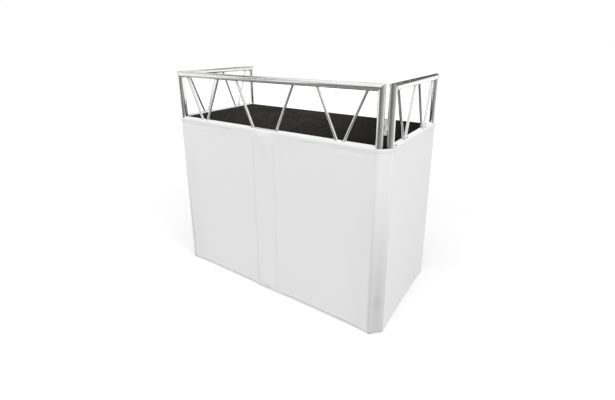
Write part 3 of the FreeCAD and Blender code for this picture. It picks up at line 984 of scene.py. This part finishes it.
def corner_stand(s):
    """A right-hand strip's foot at s, the way that it faces, and how near the middle of the gap it is."""
    along = min(max((s - POST_EIGHTH) / CORNER_GAP.length, 0), 1)
    turn = min(s, POST_EIGHTH) / CLOTH_R - pi / 2 + max(s - CORNER_WIDTH + POST_EIGHTH, 0) / CLOTH_R
    return CORNER_FRONT + CORNER_GAP * along, Vector((cos(turn), sin(turn), 0)), sin(pi * along)


def corner_grid(sign):
    """The points of a corner strip, and the shade painted at each."""
    stands = [corner_stand(s) for s in CORNER_PLACES]
    rows, shades = [], []
    for out, z in STRIP_ROWS:
        across = [base + facing * (CLOTH_R + out * (1 - HEM_LOSS * midway) - CORNER_SAG * midway)
                  for base, facing, midway in stands]
        rows.append([(sign * point.x, point.y, z) for point in across])
        hinge_shade = LOW_HINGE_SHADE * hump(z - LOW_HINGE_Z, LOW_HINGE_HIGH, power=4)
        shades.append([gap_shade(z, midway) + hinge_shade * sqrt(midway) + under_hem_shade(z)
                       for _, _, midway in stands])
    return turned(np.array(rows), np.array(shades), sign < 0)


def dress_corner(side, sign):
    """Cloth pulled from the front post across the hinge gap to the side post."""
    name = f"{side}_corner_panel"
    piece, hem = cloth_panel(name, corner_grid(sign), STRIP_STITCH_ROW, f"{side}_corner_cover_strip")
    for part in (piece, hem):
        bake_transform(part)


for side, sign in (("left", -1), ("right", 1)):
    dress_gate(f"{side}_front_panel", FrontCover(GATES[f"front_{side}"]))
    dress_gate(f"{side}_side_panel", SideCover(GATES[f"{side}_side"]))
    dress_corner(side, sign)
dress_centre()


# Table

# Carpet: the cut at its front corners, the width of its pressed edge and the part of its height that is
# left there, and how uneven its pile is
CARPET_CUT = 0.012
PRESSED_WIDTH = 0.004
PRESSED_PART = 0.45
PILE_UNEVEN = 0.00008


def dress_table():
    """Carpet glued to the board, with its cut edges pressed down and a faintly uneven pile."""
    rng = np.random.default_rng(11)
    width = carpet_high.x
    ys = spread(
        (carpet_low.y, 0.0015), (carpet_low.y + 0.015, 0.012), (carpet_high.y - 0.006, 0.0015),
        (carpet_high.y, 0))
    half = spread((0, 0.012), (width - 0.006, 0.0015), (width, 0)) / width
    parts = np.concatenate([-half[:0:-1], half])
    reach = (width - np.clip(CARPET_CUT - (ys - carpet_low.y), 0, CARPET_CUT))[:, None]
    x = reach * parts[None, :]
    y = np.broadcast_to(ys[:, None], x.shape)
    edge = np.minimum(np.minimum(y - carpet_low.y, carpet_high.y - y), reach - np.abs(x))
    thick = PRESSED_PART + (1 - PRESSED_PART) * ease(edge, 0.0, PRESSED_WIDTH)
    thick = (carpet_high.z - carpet_low.z) * thick + rng.normal(0, PILE_UNEVEN, x.shape)
    points = np.stack([x, y, carpet_low.z + thick / 2], axis=2)[::-1]
    piece = sheet_piece("carpet_top", points, np.zeros(x.shape), carpet_finish, thick[::-1])
    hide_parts("table_carpet")
    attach(piece, "table")


dress_table()


# Floor and studio flats

FLOOR_REACH = 30.0
FLOOR_LEVEL = 0.70
FILL_LIGHT = 0.74


def direct_look(tree):
    """1 for what the camera sees, also reflected or through glass, 0 for what only lights the object."""
    camera_ray, glossy_ray, transmitted_ray = [
        tree.node("ShaderNodeLightPath", out=f"Is {kind} Ray")
        for kind in ("Camera", "Glossy", "Transmission")]
    return tree.math("MAXIMUM", tree.math("MAXIMUM", camera_ray, glossy_ray), transmitted_ray)


def floor_finish():
    """A pale floor that the camera sees as white, with the object's soft shadow on it."""
    finish = Finish("pale_floor")
    pale = finish.node("ShaderNodeBsdfDiffuse", inputs={"Color": grey(FLOOR_LEVEL)})
    away = finish.node("ShaderNodeVectorMath", {"operation": "LENGTH"}, {0: finish.place()}, out="Value")
    lift = direct_look(finish) * finish.span(away, 1.4, 5.0, to_low=0.31, to_high=0.62)
    glow = finish.node("ShaderNodeEmission", inputs={"Color": grey(1.0), "Strength": lift})
    return finish.output(finish.node("ShaderNodeAddShader", inputs={0: pale, 1: glow}))


def flat_finish(level):
    finish = Finish("studio_flat")
    glow = finish.node("ShaderNodeEmission", inputs={"Color": grey(level), "Strength": 1.0})
    return finish.output(glow)


def stage_plane(name, corners, finish):
    mesh = bpy.data.meshes.new(name)
    mesh.from_pydata(corners, [], [(0, 1, 2, 3)])
    mesh.materials.append(finish)
    plane = put(name, mesh)
    return plane


def studio_flat(name, corners, level):
    """A panel beside the object that only shows as a reflection in the metal."""
    panel = stage_plane(name, corners, flat_finish(level))
    panel.visible_camera = False
    panel.visible_diffuse = False
    panel.visible_shadow = False
    panel.visible_transmission = False


def upright(from_deg, to_deg, distance, low, high):
    turns = (radians(from_deg), radians(to_deg))
    (ax, ay), (bx, by) = [(distance * cos(turn), distance * sin(turn)) for turn in turns]
    return [(ax, ay, low), (bx, by, low), (bx, by, high), (ax, ay, high)]


def level_at(x, y, z):
    return [(x[0], y[0], z), (x[1], y[0], z), (x[1], y[1], z), (x[0], y[1], z)]


NEAR = 3.4
FAR = 4.4
JUST_OFF_FLOOR = 0.002

# From and to in degrees round the object, distance, foot, head, brightness
UPRIGHT_FLATS = {
    "dark_flat": (-118, -62, NEAR, 0.0, 1.8, 0.16),
    "grey_flat": (-62, -36, NEAR, 0.0, 1.8, 0.30),
    "light_flat": (-36, -10, NEAR, 0.0, 1.8, 0.42),
    "pale_flat": (-10, 14, NEAR, 0.0, 1.8, 0.55),
    "rear_flat": (150, 185, NEAR, 0.0, 2.3, 0.55),
    "far_flat": (55, 125, FAR, 1.8, 2.8, 0.08),
    "far_high_flat": (55, 125, FAR, 4.1, 5.2, 0.12),
    "far_left_flat": (125, 178, FAR, 2.2, 4.5, 0.65),
    "front_left_flat": (-152, -134, NEAR, 1.2, 3.2, 0.94),
    "front_grey_flat": (-134, -126, NEAR, 0.5, 3.2, 0.26),
    "back_low_flat": (87, 112, FAR, 1.15, 2.2, 0.02),
}
# From and to in x, from and to in y, height, brightness
LEVEL_FLATS = {
    "ceiling_flat": ((-7.0, -2.2), (-6.0, 4.5), 4.2, 0.80),
    "ceiling_strip": ((-3.7, -2.7), (-2.4, 0.8), 4.1, 0.06),
    "left_floor_flat": ((-3.3, -1.5), (-3.3, 0.0), JUST_OFF_FLOOR, 0.50),
    "near_floor_flat": ((-1.5, 0.0), (-3.3, 0.0), JUST_OFF_FLOOR, 0.24),
    "right_floor_flat": ((0.0, 3.3), (-3.3, 1.8), JUST_OFF_FLOOR, 0.22),
}

floor_span = (-FLOOR_REACH, FLOOR_REACH)
stage_plane("floor", level_at(floor_span, floor_span, 0), floor_finish())
for name, (*place, brightness) in UPRIGHT_FLATS.items():
    studio_flat(name, upright(*place), brightness)
for name, (*place, brightness) in LEVEL_FLATS.items():
    studio_flat(name, level_at(*place), brightness)


# Light and camera

def look_along(item, direction):
    item.rotation_euler = direction.to_track_quat("-Z", "Y").to_euler()


def soft_lamp(name, place, target, size, power):
    lamp = bpy.data.lights.new(name, "AREA")
    lamp.shape = "RECTANGLE"
    lamp.size, lamp.size_y = size
    lamp.energy = power
    holder = put(name, lamp)
    holder.visible_glossy = False
    holder.location = place
    look_along(holder, Vector(target) - Vector(place))


def light_room():
    """Even light from all round, and white wherever the camera looks past the floor."""
    world = bpy.data.worlds.new("studio")
    bpy.context.scene.world = world
    world.use_nodes = True
    world.node_tree.nodes.clear()
    room = Tree(world.node_tree)
    fill = room.node("ShaderNodeBackground", inputs={"Color": grey(1.0), "Strength": FILL_LIGHT})
    white = room.node("ShaderNodeBackground", inputs={"Color": grey(1.0), "Strength": 1.0})
    mixed = room.node("ShaderNodeMixShader", inputs={0: direct_look(room), 1: fill, 2: white})
    room.node("ShaderNodeOutputWorld", inputs={"Surface": mixed})


def photo_camera():
    """The photo's camera, fitted to the posts, rails and cover edges with less shift than the photo has."""
    camera = bpy.data.cameras.new("photo_camera")
    camera.sensor_width = 36.0
    camera.lens = 21.598
    camera.shift_x = -0.0087
    camera.shift_y = -0.0780
    viewer = put("photo_camera", camera)
    viewer.location = (1.1136, -1.2865 + FRONT_Y, 1.2429)
    yaw, pitch = -0.58069, 0.28433
    look_along(viewer, Vector((sin(yaw) * cos(pitch), cos(yaw) * cos(pitch), -sin(pitch))))
    bpy.context.scene.camera = viewer


soft_lamp("high_softbox", (0.3, -0.6, 3.8), target=(0, 0, 0.8), size=(3.0, 2.4), power=40.0)
soft_lamp("front_softbox", (-3.1, -2.8, 1.3), target=(0, 0, 0.4), size=(2.4, 2.0), power=22.0)
soft_lamp("right_softbox", (3.4, -1.2, 2.4), target=(0, 0, 0.6), size=(1.8, 2.2), power=34.0)
light_room()
photo_camera()
bpy.context.scene.view_settings.view_transform = "Standard"
